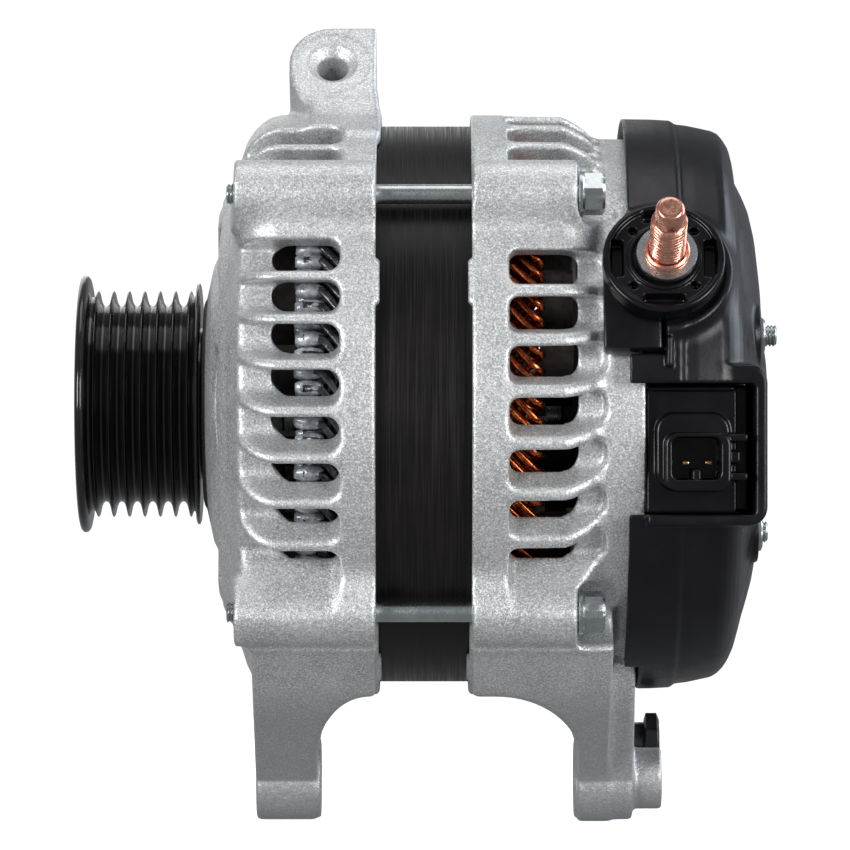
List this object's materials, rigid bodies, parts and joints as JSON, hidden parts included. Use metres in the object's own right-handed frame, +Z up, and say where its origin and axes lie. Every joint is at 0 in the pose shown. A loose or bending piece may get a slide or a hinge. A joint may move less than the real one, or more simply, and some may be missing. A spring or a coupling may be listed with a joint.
{
  "type": "car alternator",
  "caption": "Belt-driven car alternator: ribbed two-piece cast body, grooved pulley, rear cover, output stud, plug socket, top lug and two lower feet.",
  "frame": {"origin": "centre of the shaft's drive end face, inside the pulley's front recess", "axes": "+X along the shaft from the pulley to the rear cover, +Z up through the adjusting lug, -Y towards the side with the output stud and the plug socket"},
  "size_m": [0.1581, 0.1508, 0.1831],
  "materials": {
    "cast_aluminium": "die cast, fine grain",
    "stator_iron": "varnished laminations",
    "winding_copper": "enamelled copper bars",
    "zinc_plate": "zinc plated",
    "bearing_steel": "ground steel",
    "fan_steel": "pressed steel",
    "pole_iron": "forged iron, varnished",
    "slip_ring_copper": "polished copper",
    "terminal_copper": "copper plated thread",
    "pulley_black": "gloss black",
    "cover_plastic": "semi-gloss black moulding",
    "black_moulding": "glossy black moulding",
    "inner_moulding": "dark resin moulding",
    "brush_carbon": "carbon graphite",
    "pin_brass": "brass",
    "bolt_black": "black coated"
  },
  "bodies": {
    "housing": {"drive_end_frame": "cast_aluminium", "rear_end_frame": "cast_aluminium", "rectifier_fin_negative": "cast_aluminium", "rectifier_fin_positive": "cast_aluminium", "stator_core": "stator_iron", "stator_winding_front": "winding_copper", "stator_winding_rear": "winding_copper", "through_bolt_1": "zinc_plate", "through_bolt_2": "zinc_plate", "through_bolt_3": "zinc_plate", "through_bolt_4": "zinc_plate", "retainer_screw_1": "zinc_plate", "retainer_screw_2": "zinc_plate", "retainer_screw_3": "zinc_plate", "retainer_screw_4": "zinc_plate", "cover_stud_1": "zinc_plate", "cover_stud_2": "zinc_plate", "cover_stud_3": "zinc_plate", "cover_nut_1": "zinc_plate", "cover_nut_2": "zinc_plate", "cover_nut_3": "zinc_plate", "terminal_washer": "zinc_plate", "bearing_retainer_plate": "bearing_steel", "front_bearing_outer_race": "bearing_steel", "rear_bearing_outer_race": "bearing_steel", "brush_spring_1": "bearing_steel", "brush_spring_2": "bearing_steel", "diode_1": "bearing_steel", "diode_2": "bearing_steel", "diode_3": "bearing_steel", "diode_4": "bearing_steel", "diode_5": "bearing_steel", "diode_6": "bearing_steel", "output_terminal_stud": "terminal_copper", "rear_cover": "cover_plastic", "terminal_insulator": "black_moulding", "connector_housing": "black_moulding", "brush_holder": "inner_moulding", "voltage_regulator": "inner_moulding", "connector_pin_1": "pin_brass", "connector_pin_2": "pin_brass", "bracket_bolt": "bolt_black"},
    "rotor": {"rotor_shaft": "bearing_steel", "front_pole_core": "pole_iron", "rear_pole_core": "pole_iron", "field_coil_bobbin": "inner_moulding", "field_coil": "winding_copper", "front_fan": "fan_steel", "rear_fan": "fan_steel", "slip_ring_sleeve": "inner_moulding", "slip_ring_inner": "slip_ring_copper", "slip_ring_outer": "slip_ring_copper", "pulley": "pulley_black", "pulley_nut": "zinc_plate", "front_bearing_inner_race": "bearing_steel", "rear_bearing_inner_race": "bearing_steel"},
    "front_cage": {"front_bearing_balls": "bearing_steel"},
    "rear_cage": {"rear_bearing_balls": "bearing_steel"},
    "brush_a": {"brush_1": "brush_carbon"},
    "brush_b": {"brush_2": "brush_carbon"}
  },
  "joints": [
    {"name": "rotor_spin", "type": "hinge", "parent": "housing", "child": "rotor", "pos_m": [0, 0, 0], "axis": [1, 0, 0], "continuous": true},
    {"name": "front_cage_spin", "type": "hinge", "parent": "housing", "child": "front_cage", "pos_m": [0.037, 0, 0], "axis": [1, 0, 0], "continuous": true},
    {"name": "rear_cage_spin", "type": "hinge", "parent": "housing", "child": "rear_cage", "pos_m": [0.1135, 0, 0], "axis": [1, 0, 0], "continuous": true},
    {"name": "brush_1_slide", "type": "slide", "parent": "housing", "child": "brush_a", "axis": [0, -1, 0], "range_m": [0, 0.005], "stiffness_N_per_m": 150, "springref_m": -0.008, "deforming": ["brush_spring_1"]},
    {"name": "brush_2_slide", "type": "slide", "parent": "housing", "child": "brush_b", "axis": [0, -1, 0], "range_m": [0, 0.005], "stiffness_N_per_m": 150, "springref_m": -0.008, "deforming": ["brush_spring_2"]}
  ],
  "couplings": [
    {"joint": "front_cage_spin", "follows": "rotor_spin", "ratio": 0.4},
    {"joint": "rear_cage_spin", "follows": "rotor_spin", "ratio": 0.42}
  ]
}
